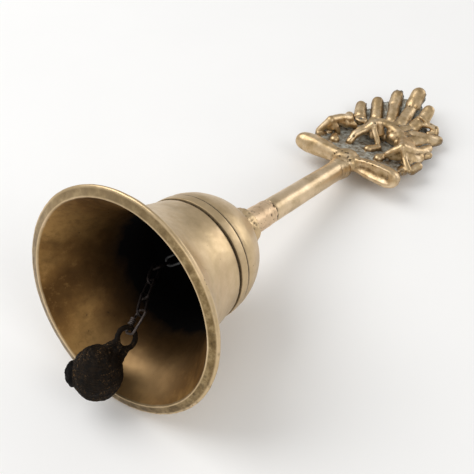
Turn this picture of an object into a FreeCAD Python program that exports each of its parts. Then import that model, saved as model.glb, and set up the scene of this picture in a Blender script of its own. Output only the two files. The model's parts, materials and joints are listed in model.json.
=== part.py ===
import FreeCAD, Part
import math
import os
from FreeCAD import Placement, Rotation, Vector

# Brass puja bell, lying on its mouth rim and on the back of its flame finial.
# Everything is drawn in the bell's own frame and then laid down:
#   x runs along the axis from the mouth to the finial, 0 at the front of the mouth
#   y runs along the crossbar, z is square to the finial's plate
# All sizes are in mm.

# ---- driving dimensions ----
LIP_RADIUS = 38.0
LIP_BORE_RADIUS = 34.64
CROWN_SEAT_X = 60.2
CROWN_SEAT_RADIUS = 7.5
CROWN_CEILING_X = 58.0
TENON_RADIUS = 3.4
FIT_GAP = 0.02

LOWER_GROOVE_X = 33.4
LOWER_GROOVE_WIDTH = 1.1
LOWER_GROOVE_DEPTH = 0.85
UPPER_GROOVE_X = 37.9
UPPER_GROOVE_WIDTH = 0.5
UPPER_GROOVE_DEPTH = 0.45

BOSS_RADIUS = 7.4
BOSS_END_X = 65.9
SLEEVE_END_X = 80.6
SLEEVE_RADIUS_LOW = 5.05
SLEEVE_RADIUS_TOP = 4.6
SHANK_RADIUS_LOW = 4.5
SHANK_RADIUS_TOP = 4.05
SHANK_END_X = 132.0
SOCKET_RADIUS = 2.0
SOCKET_END_X = 137.5

CROSSBAR_X = 136.6
CROSSBAR_Z = 2.2
CROSSBAR_HALF_LENGTH = 24.3
CROSSBAR_RADIUS_MIDDLE = 4.5
CROSSBAR_RADIUS_END = 3.6

PLATE_THICKNESS = 3.2
FLAME_BASE_HALF_WIDTH = 2.9
FLAME_TIP_HALF_WIDTH = 2.5
FOOT_X = 170.0
FOOT_DROP = 0.6

WIRE_RADIUS = 0.625
STAPLE_WIRE_RADIUS = 0.65
LINK_BOW_RADIUS = 1.55
LAST_LINK_BOW_RADIUS = 1.9
STAPLE_BOW_RADIUS = 1.9
LINK_PITCH = 6.78
STAPLE_BOW_X = 47.3
STAPLE_TURN = 126.2
STAPLE_END_X = 61.0
LINK_BENDS = (4.7, 75.7, 5.4, 85.9, -30.3, -1.1, 6.1, -25.9)

BALL_RADIUS = 8.95
BALL_CENTRE = Vector(-4.76, 2.0, -25.23)
EYE_RADIUS = 3.4
EYE_BAR_RADIUS = 0.85
EYE_GAP = 0.3

X_AXIS = Vector(1, 0, 0)
Y_AXIS = Vector(0, 1, 0)


# ---- helpers ----
def revolve_about_x(edges):
    face = Part.Face(Part.Wire(edges))
    return face.revolve(Vector(0, 0, 0), X_AXIS, 360)


def polyline(points):
    return [Part.makeLine(a, b) for a, b in zip(points, points[1:])]


def at(x, radius):
    return Vector(x, 0, radius)


def spline(points):
    curve = Part.BSplineCurve()
    curve.interpolate([at(x, radius) for x, radius in points])
    return curve.toShape()


def ring_profile(points):
    corners = [at(x, radius) for x, radius in points]
    return revolve_about_x(polyline(corners + [corners[0]]))


def faceted_bar(start, end, start_radius, end_radius):
    # an eight-sided tapering bar with chamfered ends
    along = (end - start).normalize()
    side = along.cross(Vector(0.3, 0.5, 0.81)).normalize()
    up = along.cross(side)
    stations = [(start - along * start_radius * 0.6, start_radius * 0.45), (start, start_radius),
                (end, end_radius), (end + along * end_radius * 0.6, end_radius * 0.45)]
    rings = []
    for centre, radius in stations:
        corners = []
        for step in range(9):
            turn = math.radians(45 * (step % 8))
            corners.append(centre + side * (radius * math.cos(turn)) + up * (radius * math.sin(turn)))
        rings.append(Part.makePolygon(corners))
    return Part.makeLoft(rings, True, True)


def ring_sweep(path, section_at, section_normal, radius):
    circle = Part.makeCircle(radius, section_at, section_normal)
    return path.makePipeShell([Part.Wire(circle)], True, True)


def rotated(vector, axis, degrees):
    return Rotation(axis, degrees).multVec(vector)


# ---- bell shell: a cast cup with a flared mouth, two turned grooves and a domed crown ----
def bell_shell():
    flare = [(3.3, 36.7), (4.6, 34.8), (7.0, 32.1), (10.0, 29.7), (14.0, 27.2), (19.0, 25.0),
             (25.0, 23.2), (30.0, 22.2), (LOWER_GROOVE_X, 21.65)]
    dome = [(UPPER_GROOVE_X + UPPER_GROOVE_WIDTH, 21.55), (41.0, 21.4), (45.0, 20.2), (50.0, 17.5),
            (55.0, 13.2), (58.6, 9.2), (CROWN_SEAT_X, CROWN_SEAT_RADIUS)]
    inside = [(0.0, LIP_BORE_RADIUS), (2.0, 33.0), (5.0, 30.8), (8.0, 28.6), (12.0, 26.2),
              (17.0, 23.9), (22.0, 22.0), (28.0, 20.3), (33.0, 19.4), (40.0, 18.9), (45.0, 17.6),
              (50.0, 14.9), (55.0, 10.4), (CROWN_CEILING_X, 6.4)]
    band_radius = 21.75
    groove_floor = band_radius - LOWER_GROOVE_DEPTH
    lip = [at(0, LIP_BORE_RADIUS), at(0.9, LIP_RADIUS - 0.25), at(1.3, LIP_RADIUS),
           at(2.2, LIP_RADIUS - 0.15), at(*flare[0])]
    lower = [at(*flare[-1]), at(LOWER_GROOVE_X + 0.15, groove_floor),
             at(LOWER_GROOVE_X + LOWER_GROOVE_WIDTH - 0.15, groove_floor),
             at(LOWER_GROOVE_X + LOWER_GROOVE_WIDTH, band_radius),
             at(UPPER_GROOVE_X, band_radius - 0.05),
             at(UPPER_GROOVE_X + 0.1, band_radius - UPPER_GROOVE_DEPTH - 0.05),
             at(UPPER_GROOVE_X + UPPER_GROOVE_WIDTH - 0.1, band_radius - UPPER_GROOVE_DEPTH - 0.05),
             at(*dome[0])]
    crown = [at(*dome[-1]), at(CROWN_SEAT_X, TENON_RADIUS + FIT_GAP),
             at(CROWN_CEILING_X, TENON_RADIUS + FIT_GAP), at(*inside[-1])]
    edges = polyline(lip) + [spline(flare)] + polyline(lower) + [spline(dome)]
    edges += polyline(crown) + [spline(inside[::-1])]
    return revolve_about_x(edges)


# ---- handle: boss, cast-on sleeve, shank and the braze bead under the crossbar ----
def crown_boss():
    bore = TENON_RADIUS + FIT_GAP
    start = CROWN_SEAT_X + FIT_GAP
    return ring_profile([(start, bore), (start, BOSS_RADIUS - 0.1), (start + 0.3, BOSS_RADIUS),
                         (BOSS_END_X - 0.7, BOSS_RADIUS), (BOSS_END_X, BOSS_RADIUS - 0.8), (BOSS_END_X, bore)])


def joint_sleeve():
    bore = TENON_RADIUS + FIT_GAP
    start = BOSS_END_X + FIT_GAP
    return ring_profile([(start, bore), (start, SLEEVE_RADIUS_LOW), (start + 4.0, SLEEVE_RADIUS_LOW - 0.2),
                         (SLEEVE_END_X - 0.3, SLEEVE_RADIUS_TOP), (SLEEVE_END_X, SLEEVE_RADIUS_TOP - 0.2),
                         (SLEEVE_END_X, bore)])


def staple_leg_start(side):
    return Vector(CROWN_CEILING_X - 2.0, 0, 0) + staple_across() * (side * STAPLE_BOW_RADIUS)


def handle_shank():
    shoulder = SLEEVE_END_X + FIT_GAP
    head_end = CROWN_CEILING_X - FIT_GAP
    body = ring_profile([(head_end - 1.6, 0), (head_end - 1.6, 3.6), (head_end - 1.1, 4.4),
                         (head_end, 4.7), (head_end, TENON_RADIUS), (shoulder, TENON_RADIUS),
                         (shoulder, SHANK_RADIUS_LOW - 0.15), (shoulder + 0.3, SHANK_RADIUS_LOW),
                         (SHANK_END_X, SHANK_RADIUS_TOP), (SHANK_END_X, SOCKET_RADIUS),
                         (SOCKET_END_X, SOCKET_RADIUS), (SOCKET_END_X, 0)])
    for side in (-1, 1):
        start = staple_leg_start(side)
        hole = Part.makeCylinder(STAPLE_WIRE_RADIUS + FIT_GAP, STAPLE_END_X + 0.3 - start.x, start, X_AXIS)
        body = body.cut(hole)
    return body.Solids[0]


def junction_bead():
    bore_low = shank_radius(127.6) + FIT_GAP
    bore_top = shank_radius(132.0) + FIT_GAP
    shoulder = SHANK_END_X + FIT_GAP
    bore_end = SOCKET_RADIUS + FIT_GAP
    bead = ring_profile([(127.6, bore_low), (127.6, bore_low + 0.25), (129.4, 4.75), (131.2, 5.3),
                         (133.0, 5.2), (135.2, 4.1), (136.0, 2.8), (136.0, bore_end),
                         (shoulder, bore_end), (shoulder, bore_top)])
    bead = bead.cut(crossbar_bulk(FIT_GAP))
    return max(bead.Solids, key=lambda solid: solid.Volume)


def shank_radius(x):
    start = SLEEVE_END_X + 0.3
    share = (x - start) / (SHANK_END_X - start)
    return SHANK_RADIUS_LOW + share * (SHANK_RADIUS_TOP - SHANK_RADIUS_LOW)


# ---- finial: crossbar, cupped plate, eleven flames and three small draped figures ----
def crossbar_bulk(grow):
    middle = CROSSBAR_RADIUS_MIDDLE + grow
    tip = CROSSBAR_RADIUS_END + grow
    centre = Vector(CROSSBAR_X, 0, CROSSBAR_Z)
    end_y = CROSSBAR_HALF_LENGTH - CROSSBAR_RADIUS_END
    pieces = []
    for side in (-1, 1):
        pieces.append(Part.makeCone(middle, tip, end_y, centre, Vector(0, side, 0)))
        pieces.append(Part.makeSphere(tip, centre + Vector(0, side * end_y, 0)))
    return pieces[0].multiFuse(pieces[1:])


def curled_slab():
    # the sheet runs flat under the figures and curls up towards the flame tips
    middle = [(136.6, 0.2), (150.0, 0.7), (162.0, 0.9), (172.5, 2.2), (181.7, 6.8), (186.5, 10.6),
              (191.5, 15.2), (196.5, 21.0)]
    half = PLATE_THICKNESS / 2
    slopes = [(b[1] - a[1]) / (b[0] - a[0]) for a, b in zip(middle, middle[1:])]
    slopes.append(slopes[-1])
    under = []
    over = []
    for (x, z), slope in zip(middle, slopes):
        length = math.hypot(1.0, slope)
        under.append(Vector(x + half * slope / length, 0, z - half / length))
        over.append(Vector(x - half * slope / length, 0, z + half / length))
    bottom = Part.BSplineCurve()
    bottom.interpolate(under)
    top = Part.BSplineCurve()
    top.interpolate(over[::-1])
    outline = Part.Wire([bottom.toShape(), Part.makeLine(under[-1], over[-1]), top.toShape(),
                         Part.makeLine(over[0], under[0])])
    slab = Part.Face(outline).extrude(Vector(0, 60, 0))
    slab.translate(Vector(0, -30, 0))
    return slab


def upright_prism(edges):
    return Part.Face(Part.Wire(edges)).extrude(Vector(0, 0, 45))


def flame_prism(base, tip):
    along = Vector(tip[0] - base[0], tip[1] - base[1], 0).normalize()
    side = Vector(-along.y, along.x, 0)
    root = Vector(base[0], base[1], -15)
    head = Vector(tip[0], tip[1], -15)
    corners = [head - side * FLAME_TIP_HALF_WIDTH, root - side * FLAME_BASE_HALF_WIDTH,
               root + side * FLAME_BASE_HALF_WIDTH, head + side * FLAME_TIP_HALF_WIDTH]
    cap = Part.Arc(corners[3], head + along * FLAME_TIP_HALF_WIDTH, corners[0]).toShape()
    return upright_prism(polyline(corners) + [cap])


def flamed_plate():
    # root and tip of each flame seen from above; every flame but the middle one has a twin
    flames = [((150.0, 17.5), (162.5, 20.4)), ((161.0, 16.0), (171.5, 19.2)), ((168.0, 14.0), (179.9, 18.3)),
              ((174.0, 10.0), (184.1, 13.6)), ((177.0, 5.6), (189.0, 8.1)), ((178.0, 0.0), (192.4, 0.0))]
    outline = [(136.0, -19.0), (150.0, -19.4), (163.0, -18.4), (172.0, -15.6), (179.0, -10.6),
               (184.0, -4.0), (184.6, 0.0), (184.0, 4.0), (179.0, 10.6), (172.0, 15.6),
               (163.0, 18.4), (150.0, 19.4), (136.0, 19.0)]
    corners = [Vector(x, y, -15) for x, y in outline]
    plan = upright_prism(polyline(corners + [corners[0]]))
    prisms = []
    for base, tip in flames:
        prisms.append(flame_prism(base, tip))
        if tip[1] > 0:
            prisms.append(flame_prism((base[0], -base[1]), (tip[0], -tip[1])))
    return curled_slab().common(plan.multiFuse(prisms))


def figure_bars():
    # each figure is an inverted V: a rounded head over two spreading legs with knobbed feet
    heads = [(150.3, -15.2, 9.4), (154.6, 0.0, 11.0), (150.3, 15.2, 9.4)]
    bars = []
    for x, y, z in heads:
        head = Vector(x, y, z)
        bars.append(faceted_bar(Vector(x - 1.5, y, 2.2), head, 2.6, 1.8))
        for side in (-1, 1):
            reach = min(19.0, max(-19.0, y + side * 7.0))
            foot = Vector(x - 6.0, reach, 2.9)
            bars.append(faceted_bar(foot, head - Vector(0.4, 0, 1.6), 1.9, 1.25))
    return bars


def arch_bars():
    # scalloped ridge that stands behind the figures
    points = [Vector(160.0, -14.0, 2.8), Vector(165.5, -9.5, 5.0), Vector(170.0, 0.0, 8.4),
              Vector(165.5, 9.5, 5.0), Vector(160.0, 14.0, 2.8)]
    bars = [faceted_bar(start, end, 1.6, 1.5) for start, end in zip(points, points[1:])]
    bars.append(faceted_bar(Vector(168.5, 0, 2.4), Vector(169.8, 0, 8.0), 2.4, 1.8))
    for side in (-1, 1):
        bars.append(faceted_bar(Vector(164.0, side * 8.0, 1.6), Vector(165.2, side * 8.0, 4.6), 2.1, 1.7))
    return bars


def finial():
    pieces = [flamed_plate()] + figure_bars() + arch_bars()
    body = crossbar_bulk(0).multiFuse(pieces)
    socket = Part.makeCylinder(SOCKET_RADIUS + FIT_GAP, 20.0, Vector(SOCKET_END_X + FIT_GAP - 20.0, 0, 0), X_AXIS)
    seat = Part.makeCylinder(SHANK_RADIUS_TOP + FIT_GAP, 12.0, Vector(SHANK_END_X + FIT_GAP - 12.0, 0, 0), X_AXIS)
    body = body.cut(socket).cut(seat)
    return max(body.Solids, key=lambda solid: solid.Volume)


# ---- chain: a hanger staple and eight wire links, each turned about the bow of the one above ----
def staple_across():
    return rotated(Vector(0, 0, 1), X_AXIS, -STAPLE_TURN)


def chain_frames():
    origin = Vector(STAPLE_BOW_X, 0, 0)
    along = Vector(-1, 0, 0)
    across = staple_across()
    frames = [(origin, along, across)]
    for bend in LINK_BENDS:
        along = rotated(along, across, bend)
        origin = origin + along * LINK_PITCH
        across = along.cross(across)
        frames.append((origin, along, across))
    return frames


def wire_link(parent, child, bow_radius):
    # the upper bow passes round the parent's wire, the lower bow ends at the child's origin
    top = parent[0]
    end, along, across = child
    low = end - along * bow_radius
    side = across * bow_radius
    upper = Part.Arc(top + side, top - along * bow_radius, top - side).toShape()
    lower = Part.Arc(low - side, low + along * bow_radius, low + side).toShape()
    path = Part.Wire([upper, Part.makeLine(top - side, low - side), lower, Part.makeLine(low + side, top + side)])
    return ring_sweep(path, top + side, along, WIRE_RADIUS)


def hanger_staple():
    centre = Vector(STAPLE_BOW_X + STAPLE_BOW_RADIUS, 0, 0)
    side = staple_across() * STAPLE_BOW_RADIUS
    bow = Part.Arc(centre + side, centre - X_AXIS * STAPLE_BOW_RADIUS, centre - side).toShape()
    reach = Vector(STAPLE_END_X - centre.x, 0, 0)
    path = Part.Wire([Part.makeLine(centre + side + reach, centre + side), bow,
                      Part.makeLine(centre - side, centre - side + reach)])
    return ring_sweep(path, centre + side + reach, X_AXIS, STAPLE_WIRE_RADIUS)


def tie_wire(frame):
    # a short wire lashed round one leg of the lowest link, with a loose tail
    end, along, across = frame
    pitch = 0.76
    turns = 3
    wire = 0.34
    coil_radius = WIRE_RADIUS + wire + 0.06
    helix = Part.makeHelix(pitch, pitch * turns, coil_radius)
    section = Part.Wire(Part.makeCircle(wire, Vector(coil_radius, 0, 0), Y_AXIS))
    coil = Part.Wire(helix).makePipeShell([section], True, True)
    tail_end = Vector(coil_radius, -2.6, 0.5)
    coil = coil.fuse(faceted_bar(Vector(coil_radius, 0, 0), tail_end, wire * 1.05, wire * 0.7))
    leg = end - along * (LINK_PITCH - 1.2) + across * LAST_LINK_BOW_RADIUS
    coil.Placement = Placement(leg, Rotation(Vector(0, 0, 1), along))
    return max(coil.Solids, key=lambda solid: solid.Volume)


# ---- clapper: a forged ball with a strap drawn out into an eye ----
def clapper(frame):
    hinge, along, across = frame
    reach = BALL_CENTRE - hinge
    in_plane = (reach - across * reach.dot(across)).normalize()
    eye = hinge + in_plane * (EYE_RADIUS - EYE_BAR_RADIUS - WIRE_RADIUS - EYE_GAP)
    ball = Part.makeSphere(BALL_RADIUS, BALL_CENTRE)
    ring = Part.makeTorus(EYE_RADIUS, EYE_BAR_RADIUS, eye, across)
    neck_start = eye + in_plane * (EYE_RADIUS - 0.1)
    neck_along = (BALL_CENTRE - neck_start).normalize()
    neck_length = (BALL_CENTRE - neck_start).Length - BALL_RADIUS + 2.0
    neck = Part.makeCone(0.8, 4.2, neck_length, neck_start, neck_along)
    return ball.multiFuse([ring, neck]).Solids[0]


# ---- assembly ----
def lying_tilt():
    rise = LIP_RADIUS + FOOT_DROP
    return math.degrees(math.atan2(rise, FOOT_X - 1.3))


def build():
    frames = chain_frames()
    parts = {
        "bell_shell": bell_shell(),
        "crown_boss": crown_boss(),
        "joint_sleeve": joint_sleeve(),
        "handle_shank": handle_shank(),
        "junction_bead": junction_bead(),
        "finial": finial(),
        "hanger_staple": hanger_staple(),
    }
    for index in range(1, len(frames)):
        is_last = index == len(frames) - 1
        bow_radius = LAST_LINK_BOW_RADIUS if is_last else LINK_BOW_RADIUS
        parts["chain_link_%d" % index] = wire_link(frames[index - 1], frames[index], bow_radius)
    parts["tie_wire"] = tie_wire(frames[-1])
    parts["clapper"] = clapper(frames[-1])
    lay = Placement(Vector(0, 0, 0), Rotation(Y_AXIS, lying_tilt()))
    for shape in parts.values():
        shape.Placement = lay.multiply(shape.Placement)
    box = Part.makeCompound(list(parts.values())).optimalBoundingBox(False, False)
    shift = Vector(-box.Center.x, -box.Center.y, -box.ZMin)
    for shape in parts.values():
        shape.translate(shift)
    report_joints(frames, Placement(shift, lay.Rotation))
    return parts


def report_joints(frames, placement):
    names = ["chain_link_%d" % index for index in range(1, len(frames))] + ["clapper"]
    for name, frame in zip(names, frames):
        origin = placement.multVec(frame[0])
        turned = placement.Rotation.multVec(frame[2])
        print("JOINT %s %.4f %.4f %.4f %.6f %.6f %.6f" % ((name,) + tuple(origin) + tuple(turned)))
    print("PLACE %.5f %.5f %.5f %.5f" % (tuple(placement.Base) + (lying_tilt(),)))


os.makedirs("parts", exist_ok=True)
for name, shape in build().items():
    print("%-14s valid=%s solids=%d volume=%.1f" % (name, shape.isValid(), len(shape.Solids), shape.Volume))
    shape.exportStep("parts/%s.step" % name)
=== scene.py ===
import json
import math

import bmesh
import bpy
import numpy as np
from mathutils import Matrix, Vector, noise


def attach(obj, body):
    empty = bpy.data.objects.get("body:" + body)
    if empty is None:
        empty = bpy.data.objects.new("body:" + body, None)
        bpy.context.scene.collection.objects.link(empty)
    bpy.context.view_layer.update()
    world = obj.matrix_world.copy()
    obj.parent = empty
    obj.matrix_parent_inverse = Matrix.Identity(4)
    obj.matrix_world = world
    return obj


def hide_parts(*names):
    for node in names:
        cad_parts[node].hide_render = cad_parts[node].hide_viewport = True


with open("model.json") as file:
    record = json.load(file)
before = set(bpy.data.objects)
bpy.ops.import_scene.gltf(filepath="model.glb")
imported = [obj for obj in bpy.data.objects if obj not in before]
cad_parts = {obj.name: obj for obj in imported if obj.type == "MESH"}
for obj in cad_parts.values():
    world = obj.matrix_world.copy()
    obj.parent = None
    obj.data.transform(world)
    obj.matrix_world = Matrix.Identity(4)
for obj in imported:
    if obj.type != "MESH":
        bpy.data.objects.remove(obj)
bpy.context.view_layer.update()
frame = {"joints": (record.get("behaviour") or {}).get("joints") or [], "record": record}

# Everything is drawn in the bell's own frame, in millimetres: x from the mouth to the finial,
# y along the crossbar, z square to the finial's plate. LAY puts it in the shared frame, where
# the bell lies on its side.
MM = 0.001
mounts = {m["name"]: m for m in frame["record"]["mounts"]}
joints = frame["joints"]
AXIS_X = -Vector(mounts["mouth_rim"]["axis"]).normalized()
AXIS_Y = Vector((0.0, 1.0, 0.0))
AXIS_Z = AXIS_X.cross(AXIS_Y)
MOUTH = Vector(mounts["mouth_rim"]["pos_m"])
LAY = Matrix.Translation(MOUTH) @ Matrix((AXIS_X, AXIS_Y, AXIS_Z)).transposed().to_4x4()
LAY_BACK = LAY.inverted()


# ---- mesh helpers
def vec(*values):
    return np.array(values, float)


def unit(vector):
    return vector / np.linalg.norm(vector)


def to_bell(point):
    return np.array(LAY_BACK @ Vector(point)) / MM


def to_bell_direction(direction):
    return np.array(LAY_BACK.to_3x3() @ Vector(direction))


def new_object(name, data):
    made = bpy.data.objects.new(name, data)
    bpy.context.scene.collection.objects.link(made)
    return made


def face_outward(mesh):
    fixer = bmesh.new()
    fixer.from_mesh(mesh)
    bmesh.ops.recalc_face_normals(fixer, faces=fixer.faces)
    fixer.to_mesh(mesh)
    fixer.free()


def make_object(name, vertices, faces, material, body, node, masks=None):
    mesh = bpy.data.meshes.new(name)
    placed = np.asarray(vertices) * MM @ np.array(LAY.to_3x3()).T + np.array(LAY.translation)
    mesh.from_pydata(placed.tolist(), [], faces)
    for mask_name, values in (masks or {}).items():
        layer = mesh.attributes.new(mask_name, "FLOAT", "POINT")
        layer.data.foreach_set("value", np.asarray(values, np.float32))
    face_outward(mesh)
    mesh.polygons.foreach_set("use_smooth", [True] * len(mesh.polygons))
    mesh.materials.append(material)
    piece = new_object(name, mesh)
    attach(piece, body)
    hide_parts(node)


def catmull(points, step):
    # a smooth open line through the points, cut about every step
    points = np.asarray(points, float)
    out = []
    for i in range(len(points) - 1):
        b, c = points[i], points[i + 1]
        a = points[i - 1] if i > 0 else 2 * b - c
        d = points[i + 2] if i + 2 < len(points) else 2 * c - b
        pieces = max(1, int(round(np.linalg.norm(c - b) / step)))
        for k in range(pieces):
            t = k / pieces
            out.append(0.5 * (2 * b + (c - a) * t + (2 * a - 5 * b + 4 * c - d) * t * t
                              + (3 * b - a - 3 * c + d) * t ** 3))
    out.append(points[-1])
    return np.array(out)


def chamfer(points):
    # cuts the corners of an open line twice, so a turned edge is slightly worn
    points = np.asarray(points, float)
    for _ in range(2):
        out = [points[0]]
        for a, b in zip(points, points[1:]):
            out += [a + (b - a) * 0.25, b - (b - a) * 0.25]
        out.append(points[-1])
        points = np.array(out)
    return points


def grid_faces(rows, columns, wrap_rows=False):
    # quads over rings of points; wrap_rows also joins the last ring to the first
    faces = []
    for i in range(rows if wrap_rows else rows - 1):
        low, high = i * columns, ((i + 1) % rows) * columns
        for j in range(columns):
            k = (j + 1) % columns
            faces.append((low + j, low + k, high + k, high + j))
    return faces


def capped_faces(rows, columns):
    # the same with the first and the last ring closed
    first = tuple(range(columns))[::-1]
    last = tuple((rows - 1) * columns + j for j in range(columns))
    return grid_faces(rows, columns) + [first, last]


def lathe(profile, segments):
    # turns a closed (x, radius) outline about the bell's axis
    profile = np.asarray(profile, float)
    turn = np.linspace(0, 2 * math.pi, segments, endpoint=False)
    x = np.repeat(profile[:, 0], segments)
    radius = np.repeat(profile[:, 1], segments)
    angle = np.tile(turn, len(profile))
    return x, radius, angle, grid_faces(len(profile), segments, wrap_rows=True)


def ring_points(x, radius, angle):
    return np.stack([x, radius * np.cos(angle), radius * np.sin(angle)], 1)


def noise_at(points, scale, seed, octaves):
    shift = Vector((seed * 7.3, seed * 3.1, seed * 11.7))
    return np.array([noise.fractal(Vector(p) * scale + shift, 1.0, 2.0, octaves) for p in points])


def tube(path, radii, closed=False, sides=18, start_normal=None):
    path = np.asarray(path, float)
    count = len(path)
    radii = np.broadcast_to(np.asarray(radii, float), (count,))
    if closed:
        before, after = np.roll(path, 1, axis=0), np.roll(path, -1, axis=0)
    else:
        before, after = np.vstack([path[:1], path[:-1]]), np.vstack([path[1:], path[-1:]])
    tangents = [unit(step) for step in after - before]
    normal = vec(0.31, 0.53, 0.79) if start_normal is None else np.asarray(start_normal, float)
    vertices = []
    for centre, tangent, radius in zip(path, tangents, radii):
        normal = unit(normal - tangent * normal.dot(tangent))
        side = np.cross(tangent, normal)
        for k in range(sides):
            turn = 2 * math.pi * k / sides
            vertices.append(centre + radius * (normal * math.cos(turn) + side * math.sin(turn)))
    faces = grid_faces(count, sides, wrap_rows=True) if closed else capped_faces(count, sides)
    return np.array(vertices), faces


def join(parts):
    vertices, faces, start = [], [], 0
    for points, polygons in parts:
        vertices.append(points)
        faces += [tuple(index + start for index in polygon) for polygon in polygons]
        start += len(points)
    return np.vstack(vertices), faces


def ellipsoid(centre, axes, rows=18, columns=24):
    # axes is three half-axis vectors
    axes = np.asarray(axes, float)
    vertices = []
    for i in range(1, rows):
        polar = math.pi * i / rows
        for j in range(columns):
            turn = 2 * math.pi * j / columns
            vertices.append(centre + axes[0] * math.cos(polar)
                            + math.sin(polar) * (axes[1] * math.cos(turn) + axes[2] * math.sin(turn)))
    faces = grid_faces(rows - 1, columns)
    top, bottom = len(vertices), len(vertices) + 1
    vertices += [centre + axes[0], centre - axes[0]]
    last = (rows - 2) * columns
    for j in range(columns):
        k = (j + 1) % columns
        faces.append((top, k, j))
        faces.append((bottom, last + j, last + k))
    return np.array(vertices), faces


def capsule(start, end, start_radius, end_radius, flat=1.0, up=(0, 0, 1), sections=10):
    # a rounded tapering finger; flat squeezes it along up
    start, end = np.asarray(start, float), np.asarray(end, float)
    along = unit(end - start)
    side = unit(np.cross(np.asarray(up, float), along))
    upward = np.cross(along, side)
    rings = []
    steps, columns = 5, 20
    for k in range(1, steps + 1):
        bend = math.pi / 2 * (1 - k / steps)
        rings.append((start - along * start_radius * math.sin(bend), start_radius * math.cos(bend)))
    for k in range(1, sections):
        share = k / sections
        rings.append((start + (end - start) * share, start_radius + (end_radius - start_radius) * share))
    for k in range(steps):
        bend = math.pi / 2 * (k / steps)
        rings.append((end + along * end_radius * math.sin(bend), end_radius * math.cos(bend)))
    vertices = []
    for centre, radius in rings:
        for j in range(columns):
            turn = 2 * math.pi * j / columns
            vertices.append(centre + radius * (side * math.cos(turn) + upward * flat * math.sin(turn)))
    return np.array(vertices), capped_faces(len(rings), columns)


def remeshed(parts, voxel, smooth_rounds):
    # melts overlapping lumps into one skin and gives back its points, faces and edges
    vertices, faces = join(parts)
    mesh = bpy.data.meshes.new("melt")
    mesh.from_pydata(vertices.tolist(), [], faces)
    face_outward(mesh)
    holder = new_object("melt", mesh)
    melt = holder.modifiers.new("melt", "REMESH")
    melt.mode = "VOXEL"
    melt.voxel_size = voxel
    bpy.context.view_layer.update()
    skin = bpy.data.meshes.new_from_object(holder.evaluated_get(bpy.context.evaluated_depsgraph_get()))
    points = np.zeros(len(skin.vertices) * 3)
    skin.vertices.foreach_get("co", points)
    points = points.reshape(-1, 3)
    polygons = [tuple(p.vertices) for p in skin.polygons]
    edges = np.array([tuple(e.vertices) for e in skin.edges])
    bpy.data.objects.remove(holder)
    bpy.data.meshes.remove(mesh)
    bpy.data.meshes.remove(skin)
    for _ in range(smooth_rounds):
        points = smoothed(points, edges, 0.55)
    return points, polygons, edges


def smoothed(points, edges, strength):
    total = np.zeros_like(points)
    degree = np.zeros(len(points))
    for a, b in ((0, 1), (1, 0)):
        np.add.at(total, edges[:, a], points[edges[:, b]])
        np.add.at(degree, edges[:, a], 1)
    return points + (total / degree[:, None] - points) * strength


def vertex_normals(points, faces):
    quads = np.array([(f + (f[-1],) * 4)[:4] for f in faces])
    across = np.cross(points[quads[:, 2]] - points[quads[:, 0]], points[quads[:, 3]] - points[quads[:, 1]])
    normals = np.zeros_like(points)
    for column in range(4):
        np.add.at(normals, quads[:, column], across)
    return normals / np.maximum(np.linalg.norm(normals, axis=1), 1e-9)[:, None]


def hollows(points, faces, edges, rounds, reach):
    # below 0 on raised skin, rising to 1 deep in a fold
    soft = points.copy()
    for _ in range(rounds):
        soft = smoothed(soft, edges, 0.7)
    depth = ((soft - points) * vertex_normals(points, faces)).sum(1)
    return np.clip(depth / reach, -1, 1)


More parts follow.
